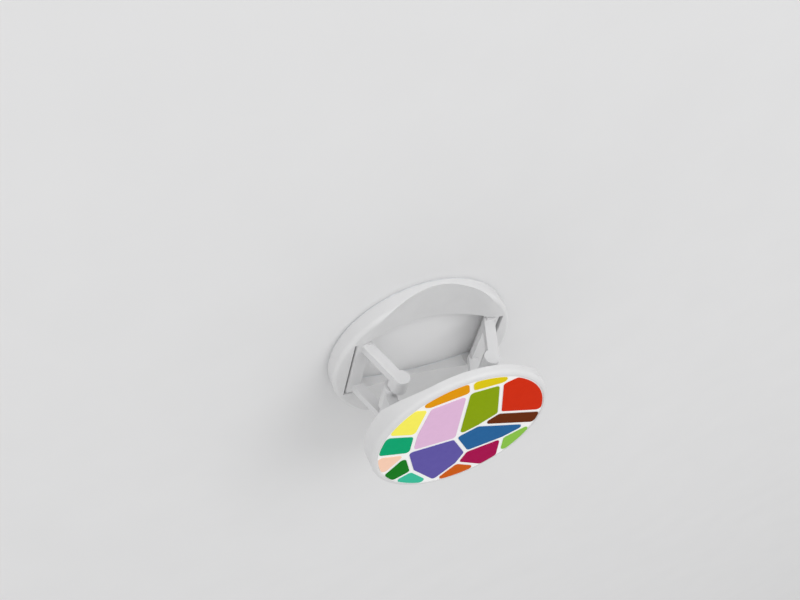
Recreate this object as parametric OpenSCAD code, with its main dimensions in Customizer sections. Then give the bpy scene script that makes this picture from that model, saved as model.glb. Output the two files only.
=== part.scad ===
// Folding grip. A round base lies flat on its adhesive pad, and a round top
// plate stands above it on two folding arms, each with a knee in the middle.
// Folded, the arms lie flat in the windows of the two plates.
// The origin is the centre of the adhesive face. Z points up from that face and
// the hinge pins run along Y. All sizes are in millimetres.

/* [Base] */
// outer diameter of the base
base_d = 40; // [40:0.5:44]
// height of the two hinge blocks of the base
base_h = 4.0; // [3.9:0.1:4.1]
// height of the base along the bottom of the valley between its blocks
base_floor_h = 1.6; // [1.3:0.1:1.9]
// rounding of the upper outer edge of the base
base_round = 1.0; // [0.6:0.1:1.1]
// thickness of the adhesive pad
pad_t = 0.5; // [0.4:0.1:0.7]
// how far the pad stays inside the rim
pad_inset = 0.4; // [0.2:0.1:0.8]

/* [Top plate] */
// height of the whole grip when it stands open
grip_h = 23.8; // [22:0.2:26]
// how far the rim of the top plate lies inside the rim of the base
top_in = 0.8; // [0.4:0.1:0.9]
// height of the two hinge blocks of the top plate
top_h = 4.4; // [4.2:0.1:4.5]
// thickness of the top plate in the valley between its blocks
top_floor_h = 2.0; // [1.9:0.1:2.4]
// rounding of the upper outer edge of the top plate
top_round = 1.0; // [0.6:0.1:1.1]
// width of the rim of the top plate round its cover
rim_w = 1.1; // [1.0:0.05:1.6]
// thickness of the cover disc
cover_t = 0.7; // [0.6:0.05:0.8]

/* [Hinges] */
// least wall between a hub pocket and the rim of the top plate
pocket_wall = 0.4; // [0.4:0.05:0.7]
// radius of the round lower part of a hub, round its pin
hub_r = 1.1; // [1.05:0.01:1.15]
// width of the arm hubs
hub_w = 16.2; // [16.0:0.1:16.3]
// how far the flat of a hub lies under the top of its base block
hub_sink = 0.15; // [0.1:0.05:0.3]
// how far a hub reaches inwards from its pin
hub_in = 1.9; // [1.7:0.1:2.0]
// height of the inner face of a hub
hub_lip = 1.2; // [1.0:0.05:1.3]
// bevel of the outer edge of a hub
hub_bevel = 0.3; // [0.25:0.05:0.4]
// radius of the pins in the plates
pin_r = 0.6; // [0.5:0.05:0.65]
// radius of the round ends at the knees
knuckle_r = 1.7; // [1.6:0.05:1.85]
// radius of the pins in the knees
knee_pin_r = 0.7; // [0.6:0.05:0.8]

/* [Arms] */
// lean of the line from a plate pin to its knee pin, with the grip open
arm_lean = 23; // [21:0.5:24]
// thickness of the arms
arm_t = 2.3; // [2.0:0.1:2.3]
// where the leg of an arm starts, inwards from its plate pin
foot_in = 1.0; // [0.9:0.05:1.05]
// where the leg of an arm starts, up from its plate pin
foot_up = 1.1; // [1.0:0.05:1.2]
// how far the round end of a lower leg lies beyond its knee pin
leg_over = 1.3; // [1.0:0.1:1.6]
// how far that round end lies inwards of the leg's middle line
leg_shift = 0.4; // [0:0.1:0.6]
// width of one leg of the lower arm
leg_w = 1.8; // [1.5:0.1:1.9]
// how far the two legs stand in from the ends of their hub
leg_in = 0.5; // [0.3:0.1:0.6]
// width of the web of the upper arm at its knee
web_w = 4.8; // [4.2:0.2:5.4]
// where the upper arm is narrow enough to pass between the legs, up from its foot
web_top_at = 3.0; // [2.8:0.1:3.2]
// where the upper arm has the full width of its hub, up from its foot
flare_at = 1.0; // [0.8:0.1:1.1]

/* [Valleys] */
// how far the upper edge of the base's valley lies inwards of the pins
valley_in = 0.1; // [0:0.05:0.3]
// how fast that valley narrows towards the rim
valley_splay = 0.52; // [0.45:0.01:0.58]
// how far past the hub pockets that narrowing starts
splay_past = 0.6; // [0.4:0.1:1.0]
// how far the lower edge of the top plate's valley lies outside the hub pockets
valley_out = 0.6; // [0.4:0.1:0.7]
// how far inwards of the pins that valley starts to curve down
valley_curve = 6.1; // [5.6:0.1:6.6]

/* [Windows] */
// how far the sides of a window lie inwards of the pins
window_in = 2.5; // [2.3:0.1:2.9]
// half length of a window along its middle
window_y = 10.0; // [9.6:0.1:10.4]
// how much its curved ends bulge
window_bulge = 1.4; // [1.0:0.1:1.6]

/* [Print] */
// width of the bare edge of the cover round its print
print_in = 0.2; // [0.1:0.1:1.0]
// width of the pale joints between the fields of colour
joint_w = 0.9; // [0.6:0.1:1.2]
// rounding of the corners of the fields
field_round = 0.8; // [0.5:0.1:1.0]
// thickness of the print
ink_t = 0.1; // [0.08:0.01:0.12]

/* [Clearances] */
// between a hinge pin and an arm that turns on it
run_gap = 0.05; // [0.03:0.01:0.08]
// between a pin and the bore that holds it
hold_gap = 0.01; // [0.01:0.01:0.02]
// at each end of a hub, in its pocket
side_gap = 0.3; // [0.2:0.05:0.4]
// between a hub and the outer wall of its pocket
slot_gap = 0.6; // [0.5:0.05:0.7]
// under the hubs of the lower arms, above the adhesive face
lift_gap = 0.7; // [0.65:0.05:0.8]
// above the hubs of the upper arms, under the cover
cover_gap = 0.4; // [0.3:0.05:0.5]
// round the cover in its recess
cover_fit = 0.1; // [0.05:0.01:0.15]
// round the openings of the adhesive pad
pad_gap = 0.3; // [0.2:0.05:0.4]
// between the web of an upper arm and the legs that it passes
web_gap = 0.4; // [0.3:0.05:0.5]

/* [Hidden] */
fine = 96;
mid = 48;
cut = 1;
valley_steps = 20;
valley_past = 1.25;

base_r = base_d / 2;
past_rim = base_r + cut;
top_r = base_r - top_in;
recess_r = top_r - rim_w;
cover_r = recess_r - cover_fit;
print_r = cover_r - print_in;
cover_z = grip_h - ink_t - cover_t;
top_z = grip_h - top_h;

pocket_y = hub_w / 2 + side_gap;
pocket_corner = top_r - pocket_wall;
pocket_x = sqrt(pocket_corner * pocket_corner - pocket_y * pocket_y);
pin_x = pocket_x - slot_gap - hub_r;

base_pin_z = lift_gap + hub_r;
hub_flat = base_h - hub_sink - base_pin_z;
top_pin_z = cover_z - cover_gap - hub_r;
arm_len = (top_pin_z - base_pin_z) / 2 / cos(arm_lean);
knee_in = arm_len * sin(arm_lean);
knee_up = arm_len * cos(arm_lean);
leg_tilt = atan2(knee_in - foot_in, knee_up - foot_up);
leg_len = norm([knee_in - foot_in, knee_up - foot_up]);

window_x = pin_x - window_in;
window_r = (window_x * window_x + window_bulge * window_bulge) / (2 * window_bulge);
valley_top = pin_x - valley_in;
top_valley = pocket_x + valley_out;
top_flat = pin_x - valley_curve;
splay_from = pocket_y + splay_past;

legs_span = hub_w - 2 * leg_in;
leg_y = (legs_span - leg_w) / 2;
web_top_w = legs_span - 2 * leg_w - 2 * web_gap;
under_at = 53;
blind_wall = 0.5;
knee_bore_end = legs_span / 2 - blind_wall;
pin_seat = 1.7;
pin_blind = pocket_y + pin_seat;
pin_back = 0.1;
pin_in = 0.3;

// middles of the fields of colour, chosen by hand for a print of radius 18
chosen_r = 18;
chosen = [
    [10, 7], [8, 0.5], [7.5, -1], [14, -13],
    [10.5, -13.5], [7, -19.5], [-5.5, -9], [-11, -14],
    [-12.5, -11.5], [-18.5, -7.5], [-15.5, 4], [-15, 5.5],
    [-6.5, 4.5], [4, 5.5], [-10.5, 20.5], [2.5, 24.5]
];
seeds = chosen * (print_r / chosen_r);

// Shared shapes

// a round plate from z = 0 up to h, with its upper outer edge rounded
module round_plate(r, h, edge) {
    rotate_extrude($fn = fine) {
        square([r - edge, h]);
        square([r, h - edge]);
        intersection() {
            translate([r - edge, h - edge]) circle(r = edge, $fn = mid);
            square([r, h]);
        }
    }
}

// outline of a window with its two hub pockets, grown by a margin
module opening_outline(grow = 0) {
    intersection() {
        square([2 * (window_x + grow), 2 * (window_y + grow)], center = true);
        window_arc(grow, 1);
        window_arc(grow, -1);
    }
    square([2 * (pocket_x + grow), 2 * (pocket_y + grow)], center = true);
}

// one of the two large circles that bend the ends of a window
module window_arc(grow, end) {
    translate([0, end * (window_y - window_r)])
        circle(r = window_r + grow, $fn = 4 * fine);
}

// cross-section of a valley, seen along Y: flat in the middle, then curving up to
// the half width at the height of the block tops, and on past them
module valley_side(depth, half, flat) {
    rise = [for (i = [0 : valley_steps]) valley_past * i / valley_steps];
    right = [for (k = rise) [flat + (half - flat) * k, depth * k * k]];
    polygon(concat(
        right,
        [for (i = [valley_steps : -1 : 0]) [-right[i][0], right[i][1]]]
    ));
}

// the scoop between the blocks of the base, which narrows towards the rim
module base_valley() {
    depth = base_h - base_floor_h;
    hull() {
        along_y(2 * splay_from) valley_side(depth, valley_top, 0);
        along_y(2 * past_rim)
            valley_side(depth, valley_top - (past_rim - splay_from) * valley_splay, 0);
    }
}

// a prism along Y, centred on the origin
module along_y(width) {
    rotate([90, 0, 0]) linear_extrude(height = width, center = true) children();
}

// a round bar along Y from y1 to y2
module bar(r, y1, y2, n = mid) {
    translate([0, y2, 0]) rotate([90, 0, 0]) cylinder(r = r, h = y2 - y1, $fn = n);
}

// how far a plate hinge pin may reach in a plate of radius r
function pin_reach(r) = sqrt(r * r - (pin_x + pin_r) * (pin_x + pin_r)) - pin_in;

// one plate hinge pin, pushed in from the -Y side
module plate_pin(side, z, r) {
    translate([side * pin_x, 0, z]) bar(pin_r, -pin_reach(r), pin_blind - pin_back);
}

// the bores of a plate that hold its two hinge pins
module plate_bores(z) {
    for (side = [-1, 1])
        translate([side * pin_x, 0, z]) bar(pin_r + hold_gap, -base_r, pin_blind);
}

// The arms are drawn with their plate pin at the origin, x pointing inwards and z
// away from their plate.

// side view of a hub: round under its pin, flat on top, so that it lies flush
// with its plate when the grip is open
module hub_side() {
    circle(r = hub_r, $fn = mid);
    polygon([
        [-hub_r, 0], [-hub_r, hub_flat - hub_bevel], [hub_bevel - hub_r, hub_flat],
        [hub_in, hub_flat], [hub_in, hub_flat - hub_lip],
        [hub_r * cos(under_at), -hub_r * sin(under_at)]
    ]);
}

// side view of a leg, whose round end lies beyond the knee pin and inwards of it
module leg_side(over, shift) {
    translate([foot_in, foot_up]) rotate(-leg_tilt) {
        translate([-arm_t / 2, 0]) square([arm_t, leg_len + over]);
        translate([shift, leg_len + over]) circle(r = knuckle_r, $fn = mid);
    }
}

// turns an arm so that x points inwards on its side of the grip
module inwards(side) {
    if (side < 0) children();
    else mirror([1, 0, 0]) children();
}

// puts a lower arm on its base pin
module on_base(side) {
    translate([side * pin_x, 0, base_pin_z]) inwards(side) children();
}

// hangs an upper arm from its top pin
module under_top(side) {
    translate([side * pin_x, 0, top_pin_z]) mirror([0, 0, 1]) inwards(side) children();
}

// bore through the full width of a hub
module hub_bore() {
    bar(pin_r + run_gap, -hub_w / 2 - cut, hub_w / 2 + cut);
}

// The pieces

module base_pin(side) {
    color([0.70, 0.71, 0.72]) plate_pin(side, base_pin_z, base_r);
}

module top_pin(side) {
    color([0.70, 0.71, 0.72]) plate_pin(side, top_pin_z, top_r);
}

module adhesive_pad() {
    color([0.62, 0.64, 0.66]) difference() {
        cylinder(r = base_r - pad_inset, h = pad_t, $fn = fine);
        translate([0, 0, -cut]) linear_extrude(height = pad_t + 2 * cut)
            opening_outline(pad_gap);
    }
}

module base() {
    color([0.90, 0.90, 0.90]) difference() {
        translate([0, 0, pad_t]) round_plate(base_r, base_h - pad_t, base_round);
        translate([0, 0, base_floor_h]) base_valley();
        linear_extrude(height = base_h + cut) opening_outline();
        plate_bores(base_pin_z);
    }
}

module lower_arm(side) {
    color([0.88, 0.88, 0.88]) on_base(side) difference() {
        union() {
            along_y(hub_w) hub_side();
            for (end = [-1, 1])
                translate([0, end * leg_y, 0]) along_y(leg_w) leg_side(leg_over, leg_shift);
        }
        hub_bore();
        translate([knee_in, 0, knee_up])
            bar(knee_pin_r + hold_gap, -legs_span / 2 - cut, knee_bore_end);
    }
}

module upper_arm(side) {
    color([0.86, 0.86, 0.86]) under_top(side) difference() {
        union() {
            along_y(hub_w) hub_side();
            along_y(web_w) leg_side(0, 0);
            web();
        }
        hub_bore();
        translate([knee_in, 0, knee_up]) bar(knee_pin_r + run_gap, -web_w, web_w);
    }
}

// the plate of an upper arm, which widens from its knee to its hub
module web() {
    translate([foot_in, 0, foot_up]) rotate([0, leg_tilt, 0]) rotate([90, 0, 90])
        linear_extrude(height = arm_t, center = true) polygon([
            [-web_w / 2, leg_len - knuckle_r], [-web_top_w / 2, web_top_at],
            [-hub_w / 2, flare_at], [-hub_w / 2, 0],
            [hub_w / 2, 0], [hub_w / 2, flare_at],
            [web_top_w / 2, web_top_at], [web_w / 2, leg_len - knuckle_r]
        ]);
}

module knee_pin(side) {
    color([0.70, 0.71, 0.72]) on_base(side) translate([knee_in, 0, knee_up])
        bar(knee_pin_r, -legs_span / 2 + pin_back, knee_bore_end - pin_back);
}

module top_disc() {
    color([0.92, 0.92, 0.92]) difference() {
        translate([0, 0, top_z]) round_plate(top_r, top_h, top_round);
        translate([0, 0, grip_h - top_floor_h]) mirror([0, 0, 1]) along_y(2 * past_rim)
            valley_side(top_h - top_floor_h, top_valley, top_flat);
        translate([0, 0, top_z - cut])
            linear_extrude(height = cover_z - top_z + cut) opening_outline();
        translate([0, 0, cover_z]) cylinder(r = recess_r, h = top_h, $fn = fine);
        plate_bores(top_pin_z);
    }
}

module cover_disc() {
    color([0.94, 0.94, 0.92]) translate([0, 0, cover_z])
        cylinder(r = cover_r, h = cover_t, $fn = fine);
}

// all points that lie nearer to seed i than to seed k, less half a joint
module nearer(i, k) {
    d = seeds[k] - seeds[i];
    m = (seeds[k] + seeds[i]) / 2;
    big = 4 * print_r;
    translate(m) rotate(atan2(d[1], d[0]))
        translate([-big - joint_w / 2, -big]) square([big, 2 * big]);
}

// one field of colour: a cell of an irregular mosaic with rounded corners
module field(i, tint) {
    color(tint) translate([0, 0, grip_h - ink_t]) linear_extrude(height = ink_t)
        offset(r = field_round, $fn = 24) offset(delta = -field_round)
            intersection() {
                circle(r = print_r, $fn = fine);
                intersection_for(k = [for (n = [0 : len(seeds) - 1]) if (n != i) n])
                    nearer(i, k);
            }
}

adhesive_pad();
base();
base_pin(-1);  // base_pin_left
base_pin(1);  // base_pin_right
lower_arm(-1);  // lower_arm_left
lower_arm(1);  // lower_arm_right
knee_pin(-1);  // knee_pin_left
knee_pin(1);  // knee_pin_right
upper_arm(-1);  // upper_arm_left
upper_arm(1);  // upper_arm_right
top_pin(-1);  // top_pin_left
top_pin(1);  // top_pin_right
top_disc();
cover_disc();
field(0, [0.83, 0.21, 0.08]);  // print_red
field(1, [0.42, 0.20, 0.00]);  // print_brown
field(2, [0.19, 0.41, 0.61]);  // print_blue
field(3, [0.55, 0.77, 0.29]);  // print_light_green
field(4, [0.66, 0.00, 0.33]);  // print_magenta
field(5, [0.81, 0.38, 0.10]);  // print_dark_orange
field(6, [0.40, 0.36, 0.65]);  // print_purple
field(7, [0.27, 0.75, 0.61]);  // print_mint
field(8, [0.14, 0.49, 0.16]);  // print_dark_green
field(9, [0.99, 0.82, 0.72]);  // print_peach
field(10, [0.00, 0.65, 0.44]);  // print_teal
field(11, [0.99, 0.95, 0.37]);  // print_yellow
field(12, [0.89, 0.73, 0.86]);  // print_lilac
field(13, [0.54, 0.64, 0.00]);  // print_olive_green
field(14, [0.90, 0.60, 0.06]);  // print_orange
field(15, [0.88, 0.79, 0.11]);  // print_olive_yellow
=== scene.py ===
import math
import bpy
import bmesh
from mathutils import Matrix, Vector
from mathutils.geometry import convex_hull_2d


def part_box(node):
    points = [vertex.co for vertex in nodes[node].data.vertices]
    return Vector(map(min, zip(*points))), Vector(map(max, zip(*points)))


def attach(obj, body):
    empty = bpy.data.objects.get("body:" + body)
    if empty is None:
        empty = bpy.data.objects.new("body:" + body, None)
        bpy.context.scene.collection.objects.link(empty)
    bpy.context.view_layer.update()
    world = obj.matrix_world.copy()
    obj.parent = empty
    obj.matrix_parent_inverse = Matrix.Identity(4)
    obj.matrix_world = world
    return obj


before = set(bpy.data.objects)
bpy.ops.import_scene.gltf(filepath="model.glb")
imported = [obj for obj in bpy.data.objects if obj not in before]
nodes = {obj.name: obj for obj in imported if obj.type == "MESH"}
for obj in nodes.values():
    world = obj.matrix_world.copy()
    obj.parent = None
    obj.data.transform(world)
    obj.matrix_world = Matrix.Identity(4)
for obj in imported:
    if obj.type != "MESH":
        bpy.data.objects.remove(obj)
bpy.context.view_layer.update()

MM = 0.001
SIDES = ("left", "right")
PRINTS = sorted(name for name in nodes if name.startswith("print_"))

# Sizes of the solids that the forms added at the knees and the cover follow.
KNUCKLE_R = 1.70 * MM    # round ends of the legs and the webs
KNEE_PIN_R = 0.70 * MM
LEG_WIDTH = 1.80 * MM
LEG_INSET = 0.50 * MM    # from the end of a hub to its leg
WEB_HALF = 2.40 * MM     # half the width of a web at its knee
COVER_FIT = 0.10 * MM    # gap round the cover in its recess

# The bosses of the legs and the collars of the knuckles.
LET_IN = 0.05 * MM       # how deep each of them is let into its arm
BOSS_STEP = 0.04 * MM    # from the outline of the leg's round end to the boss
BOSS_PIN_R = 1.05 * MM   # radius of the boss round the pin
BOSS_FROM = 3.60 * MM    # where the boss ends, from the middle of the grip
COLLAR_STEP = 0.06 * MM  # from the outline of the knuckle to the collar
COLLAR_TO = 3.45 * MM    # where the collar ends, from the middle of the grip
PIN_PLAY = 0.05 * MM     # between the pin and the collar

# How wide the sharp edges are rounded.
MOULDED_EDGE = 0.14 * MM
UPPER_ARM_EDGE = 0.08 * MM
PIN_EDGE = 0.08 * MM
COVER_EDGE = 0.20 * MM
BOSS_EDGE = 0.12 * MM
COLLAR_EDGE = 0.10 * MM
SEAM_EDGE = 0.01 * MM


# Materials

def linear(c):
    """A colour as it looks, on the 0 to 1 display scale, in the form that Blender takes."""
    return tuple(x / 12.92 if x <= 0.04045 else ((x + 0.055) / 1.055) ** 2.4
                 for x in c) + (1.0,)


def tinted(colour, step):
    return tuple(min(1.0, max(0.0, c + step)) for c in colour)


class Nodes:
    """A small helper that builds one material's node tree."""

    def __init__(self, name):
        self.material = bpy.data.materials.new(name)
        self.material.use_nodes = True
        self.tree = self.material.node_tree
        self.shader = self.tree.nodes["Principled BSDF"]
        self.place = self.add("ShaderNodeTexCoord").outputs["Object"]

    def add(self, kind):
        return self.tree.nodes.new(kind)

    def link(self, a, b):
        self.tree.links.new(a, b)

    def constant(self, socket, value):
        self.shader.inputs[socket].default_value = value

    def noise(self, scale, detail=3.0, stretch=None):
        node = self.add("ShaderNodeTexNoise")
        node.inputs["Scale"].default_value = scale
        node.inputs["Detail"].default_value = detail
        place = self.place
        if stretch:
            mapping = self.add("ShaderNodeMapping")
            mapping.inputs["Scale"].default_value = stretch
            self.link(place, mapping.inputs["Vector"])
            place = mapping.outputs["Vector"]
        self.link(place, node.inputs["Vector"])
        return node.outputs["Fac"]

    def cells(self, scale):
        node = self.add("ShaderNodeTexVoronoi")
        node.inputs["Scale"].default_value = scale
        self.link(self.place, node.inputs["Vector"])
        return node.outputs["Distance"]

    def colour(self, value, low, high):
        node = self.add("ShaderNodeValToRGB")
        stops = ((0.3, low), (0.7, high))
        for element, (at, colour) in zip(node.color_ramp.elements, stops):
            element.position = at
            element.color = linear(colour)
        self.link(value, node.inputs["Fac"])
        self.link(node.outputs["Color"], self.shader.inputs["Base Color"])

    def rough(self, value, low, high):
        node = self.add("ShaderNodeMapRange")
        node.inputs["To Min"].default_value = low
        node.inputs["To Max"].default_value = high
        self.link(value, node.inputs["Value"])
        self.link(node.outputs["Result"], self.shader.inputs["Roughness"])

    def bump(self, value, depth):
        node = self.add("ShaderNodeBump")
        node.inputs["Distance"].default_value = depth
        node.inputs["Strength"].default_value = 1.0
        self.link(value, node.inputs["Height"])
        self.link(node.outputs["Normal"], self.shader.inputs["Normal"])


def plastic(name, colour, rough, spread=0.008, coat=0.0):
    """Moulded plastic: cloudy colour, uneven gloss and a fine moulded grain."""
    m = Nodes(name)
    m.colour(m.noise(scale=180.0), tinted(colour, -spread), tinted(colour, spread))
    m.rough(m.noise(scale=420.0, detail=4.0), rough - 0.05, rough + 0.05)
    m.bump(m.noise(scale=5200.0, detail=2.0), depth=0.000004)
    m.constant("IOR", 1.48)
    m.constant("Coat Weight", coat)
    m.constant("Coat Roughness", 0.12)
    return m.material


def ink(name, colour, spread=0.006):
    """Printed ink, nearly matt, with a slight dapple of the print."""
    m = Nodes(name)
    m.colour(m.noise(scale=900.0, detail=5.0), tinted(colour, -spread), tinted(colour, spread))
    m.rough(m.noise(scale=300.0), 0.26, 0.36)
    m.bump(m.noise(scale=3600.0, detail=2.0), depth=0.000001)
    m.constant("Specular IOR Level", 0.01)
    return m.material


def brushed_steel(name):
    """Drawn steel wire: fine lines along Y, the direction of the pins."""
    m = Nodes(name)
    lines = m.noise(scale=1.0, detail=4.0, stretch=(9000.0, 350.0, 9000.0))
    m.colour(lines, (0.66, 0.67, 0.68), (0.80, 0.81, 0.82))
    m.rough(lines, 0.24, 0.40)
    m.bump(lines, depth=0.000003)
    m.constant("Metallic", 1.0)
    return m.material


def foam(name):
    """Thin closed-cell foam of the adhesive pad."""
    m = Nodes(name)
    m.colour(m.noise(scale=600.0), (0.83, 0.84, 0.85), (0.88, 0.89, 0.90))
    m.rough(m.noise(scale=300.0), 0.78, 0.92)
    m.bump(m.cells(scale=4200.0), depth=0.00003)
    return m.material


def card(name):
    """The pale card of the floor."""
    m = Nodes(name)
    m.colour(m.noise(scale=60.0), (0.890, 0.890, 0.892), (0.896, 0.896, 0.898))
    m.rough(m.noise(scale=40.0), 0.80, 0.88)
    m.constant("Specular IOR Level", 0.2)
    return m.material


WHITE_PLATE = plastic("plate_plastic", (0.840, 0.840, 0.842), rough=0.36)
WHITE_ARM = plastic("arm_plastic", (0.832, 0.832, 0.835), rough=0.30, coat=0.35)
WHITE_COVER = plastic("cover_plastic", (0.975, 0.975, 0.972), rough=0.30,
                      spread=0.004, coat=0.10)
STEEL = brushed_steel("pin_steel")
FOAM = foam("pad_foam")
INKS = {
    "print_red": (0.83, 0.17, 0.02), "print_brown": (0.40, 0.16, 0.00),
    "print_blue": (0.14, 0.39, 0.61), "print_light_green": (0.55, 0.77, 0.29),
    "print_magenta": (0.66, 0.00, 0.30), "print_dark_orange": (0.81, 0.36, 0.04),
    "print_purple": (0.38, 0.34, 0.65), "print_mint": (0.23, 0.75, 0.61),
    "print_dark_green": (0.06, 0.48, 0.10), "print_peach": (0.99, 0.82, 0.72),
    "print_teal": (0.00, 0.65, 0.44), "print_yellow": (0.99, 0.95, 0.37),
    "print_lilac": (0.89, 0.73, 0.86), "print_olive_green": (0.54, 0.64, 0.00),
    "print_orange": (0.90, 0.60, 0.01), "print_olive_yellow": (0.88, 0.79, 0.05),
}


# The solids: their materials and softened edges

def dress(name, material):
    mesh = nodes[name].data
    mesh.materials.clear()
    mesh.materials.append(material)


def bevel_edges(obj, width, segments, sharp):
    """Rounds the edges of a piece that are sharper than an angle, in degrees."""
    bevel = obj.modifiers.new("bevel", "BEVEL")
    bevel.width = width
    bevel.segments = segments
    bevel.limit_method = "ANGLE"
    bevel.angle_limit = math.radians(sharp)
    return bevel


def soften(name, width, segments=3, clamp=True):
    """Joins a solid's doubled points and flat faces, rounds its sharp edges and evens its shading."""
    obj = nodes[name]
    weld = obj.modifiers.new("weld", "WELD")
    weld.merge_threshold = 0.002 * MM
    flat = obj.modifiers.new("flat", "DECIMATE")
    flat.decimate_type = "DISSOLVE"
    flat.angle_limit = math.radians(0.5)
    bevel_edges(obj, width, segments, sharp=28).use_clamp_overlap = clamp
    obj.modifiers.new("normals", "WEIGHTED_NORMAL")
    obj.data.polygons.foreach_set("use_smooth", [True] * len(obj.data.polygons))
    obj.data.update()


def finish_solids():
    for name in ("base", "top_disc"):
        dress(name, WHITE_PLATE)
        soften(name, MOULDED_EDGE)
    for side in SIDES:
        dress("lower_arm_" + side, WHITE_ARM)
        soften("lower_arm_" + side, MOULDED_EDGE)
        # The web's corners at the knuckle leave no room there, so that a clamp
        # would take the rounding off the whole arm.
        dress("upper_arm_" + side, WHITE_ARM)
        soften("upper_arm_" + side, UPPER_ARM_EDGE, clamp=False)
        for part in ("base_pin_", "knee_pin_", "top_pin_"):
            dress(part + side, STEEL)
            soften(part + side, PIN_EDGE, segments=2)
    dress("adhesive_pad", FOAM)
    for name in PRINTS:
        dress(name, ink(name.replace("print", "ink"), INKS[name]))
    dress("cover_disc", WHITE_COVER)
    soften("cover_disc", COVER_EDGE)


# Forms that are added to the solids

def circle(cx, cz, r, steps=64):
    turns = [2 * math.pi * k / steps for k in range(steps)]
    return [(cx + r * math.cos(a), cz + r * math.sin(a)) for a in turns]


def add_object(name, bm):
    """An object made from a bmesh, with its faces turned outwards."""
    bmesh.ops.recalc_face_normals(bm, faces=bm.faces)
    mesh = bpy.data.meshes.new(name)
    bm.to_mesh(mesh)
    bm.free()
    obj = bpy.data.objects.new(name, mesh)
    bpy.context.scene.collection.objects.link(obj)
    return obj


def add_piece(name, bm, body, edge, material=WHITE_ARM, slot="arm_plastic"):
    """A moulded piece with rounded edges that rides on a body."""
    obj = add_object(name, bm)
    mesh = obj.data
    mesh.materials.append(material)
    mesh.polygons.foreach_set("use_smooth", [True] * len(mesh.polygons))
    bevel_edges(obj, edge, 3, sharp=40).harden_normals = True
    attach(obj, body)
    return obj


def prism(name, outline, y1, y2, body, edge):
    """A prism along Y on a closed outline in X and Z."""
    bm = bmesh.new()
    face = bm.faces.new([bm.verts.new((x, y1, z)) for x, z in outline])
    far = bmesh.ops.extrude_face_region(bm, geom=[face])["geom"]
    moved = [v for v in far if isinstance(v, bmesh.types.BMVert)]
    bmesh.ops.translate(bm, verts=moved, vec=(0.0, y2 - y1, 0.0))
    return add_piece(name, bm, body, edge)


def ring(name, centre, inner, outer, y1, y2, body, edge, steps=64, **finish):
    """A short tube along Y."""
    bm = bmesh.new()
    loops = [[bm.verts.new((x, y, z)) for x, z in circle(*centre, r, steps)]
             for y in (y1, y2) for r in (inner, outer)]
    for a, b in ((0, 1), (1, 3), (3, 2), (2, 0)):
        for k in range(steps):
            n = (k + 1) % steps
            bm.faces.new((loops[a][k], loops[a][n], loops[b][n], loops[b][k]))
    return add_piece(name, bm, body, edge, **finish)


def add_knee(side):
    """The boss on the inner face of each leg, and the collar that lengthens the knuckle."""
    low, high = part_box("knee_pin_" + side)
    pin = ((low[0] + high[0]) / 2, (low[2] + high[2]) / 2)
    low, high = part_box("lower_arm_" + side)
    end_z = high[2] - KNUCKLE_R
    end_x = high[0] - KNUCKLE_R if side == "left" else low[0] + KNUCKLE_R
    leg_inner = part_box("upper_arm_" + side)[1][1] - LEG_INSET - LEG_WIDTH
    spots = circle(end_x, end_z, KNUCKLE_R - BOSS_STEP) + circle(*pin, BOSS_PIN_R)
    hull = [spots[i] for i in convex_hull_2d([Vector(s) for s in spots])]
    for tag, way in (("near", 1), ("far", -1)):
        prism("knee_boss_%s_%s" % (side, tag), hull,
              way * (leg_inner + LET_IN), way * BOSS_FROM,
              side + "_lower_arm", BOSS_EDGE)
        ring("knuckle_collar_%s_%s" % (side, tag), pin,
             KNEE_PIN_R + PIN_PLAY, KNUCKLE_R - COLLAR_STEP,
             way * (WEB_HALF - LET_IN), way * COLLAR_TO,
             side + "_upper_arm", COLLAR_EDGE)


def add_cover_seam():
    """The bead of adhesive in the fit gap round the cover."""
    low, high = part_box("cover_disc")
    cover_r, lap = high[0], 0.02 * MM
    seam = ring("cover_seam", (0.0, 0.0), cover_r - lap, cover_r + COVER_FIT + lap,
                low[2] + 0.05 * MM, high[2] - 0.06 * MM, "top", SEAM_EDGE, steps=192,
                material=WHITE_COVER, slot="cover_plastic")
    seam.data.transform(Matrix.Rotation(math.radians(90), 4, "X"))


# Floor, camera and light

def add_floor(half=3.0, z=-0.00002):
    bm = bmesh.new()
    corners = ((-half, -half), (half, -half), (half, half), (-half, half))
    bm.faces.new([bm.verts.new((x, y, z)) for x, y in corners])
    obj = add_object("floor", bm)
    obj.data.materials.append(card("floor_card"))


def add_camera():
    """The photograph's view: from the +Y side, with the frame rolled."""
    position = Vector((-81.94, 162.60, 109.39)) * MM
    right = Vector((0.90880, 0.18569, 0.37364))
    down = Vector((-0.17510, -0.64310, 0.74550))
    ahead = Vector((0.37871, -0.74293, -0.55193))
    data = bpy.data.cameras.new("camera")
    data.sensor_width = 36.0
    data.lens = 45.0
    data.clip_start = 0.005
    obj = bpy.data.objects.new("camera", data)
    bpy.context.scene.collection.objects.link(obj)
    turn = Matrix((right, -down, -ahead)).transposed().to_4x4()
    obj.matrix_world = Matrix.Translation(position) @ turn
    bpy.context.scene.camera = obj


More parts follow.
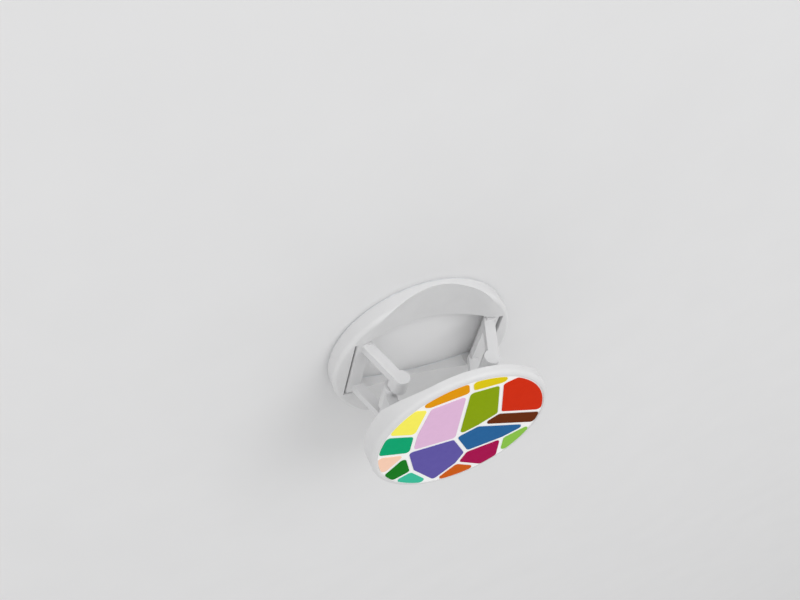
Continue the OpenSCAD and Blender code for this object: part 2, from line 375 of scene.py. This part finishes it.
def add_lamp(name, position, diameter, power, aim=(0.0, 0.0, 0.01)):
    """A round soft lamp that points at the grip."""
    data = bpy.data.lights.new(name, "AREA")
    data.shape = "DISK"
    data.size = diameter
    data.energy = power
    obj = bpy.data.objects.new(name, data)
    bpy.context.scene.collection.objects.link(obj)
    obj.location = position
    look = Vector(aim) - Vector(position)
    obj.rotation_euler = look.to_track_quat("-Z", "Y").to_euler()


def add_world():
    """A white sky that is brighter towards the horizon, seen as a plain pale grey."""
    scene = bpy.context.scene
    scene.world = bpy.data.worlds.new("studio")
    scene.world.use_nodes = True
    tree = scene.world.node_tree
    add, link = tree.nodes.new, tree.links.new

    light = tree.nodes["Background"]
    light.inputs["Color"].default_value = (1.0, 1.0, 1.0, 1.0)
    direction = add("ShaderNodeSeparateXYZ")
    strength = add("ShaderNodeMapRange")
    for socket, value in (("From Min", 0.45), ("From Max", 0.90),
                          ("To Min", 1.04), ("To Max", 0.45)):
        strength.inputs[socket].default_value = value
    link(add("ShaderNodeTexCoord").outputs["Generated"], direction.inputs["Vector"])
    link(direction.outputs["Z"], strength.inputs["Value"])
    link(strength.outputs["Result"], light.inputs["Strength"])

    seen = add("ShaderNodeBackground")
    seen.inputs["Color"].default_value = linear((0.90, 0.90, 0.90))
    rays = add("ShaderNodeLightPath").outputs
    shown = rays["Is Camera Ray"]
    for kind in ("Is Glossy Ray", "Is Transmission Ray"):
        either = add("ShaderNodeMath")
        either.operation = "MAXIMUM"
        link(shown, either.inputs[0])
        link(rays[kind], either.inputs[1])
        shown = either.outputs[0]
    mix = add("ShaderNodeMixShader")
    link(shown, mix.inputs["Fac"])
    link(light.outputs[0], mix.inputs[1])
    link(seen.outputs[0], mix.inputs[2])
    link(mix.outputs[0], tree.nodes["World Output"].inputs["Surface"])


finish_solids()
for side in SIDES:
    add_knee(side)
add_cover_seam()
add_floor()
add_camera()
add_lamp("key", (0.30, 0.74, 0.60), diameter=0.65, power=2.6)
add_lamp("fill", (-0.45, 0.72, 0.46), diameter=0.60, power=1.2)
add_world()
bpy.context.scene.view_settings.view_transform = "Standard"
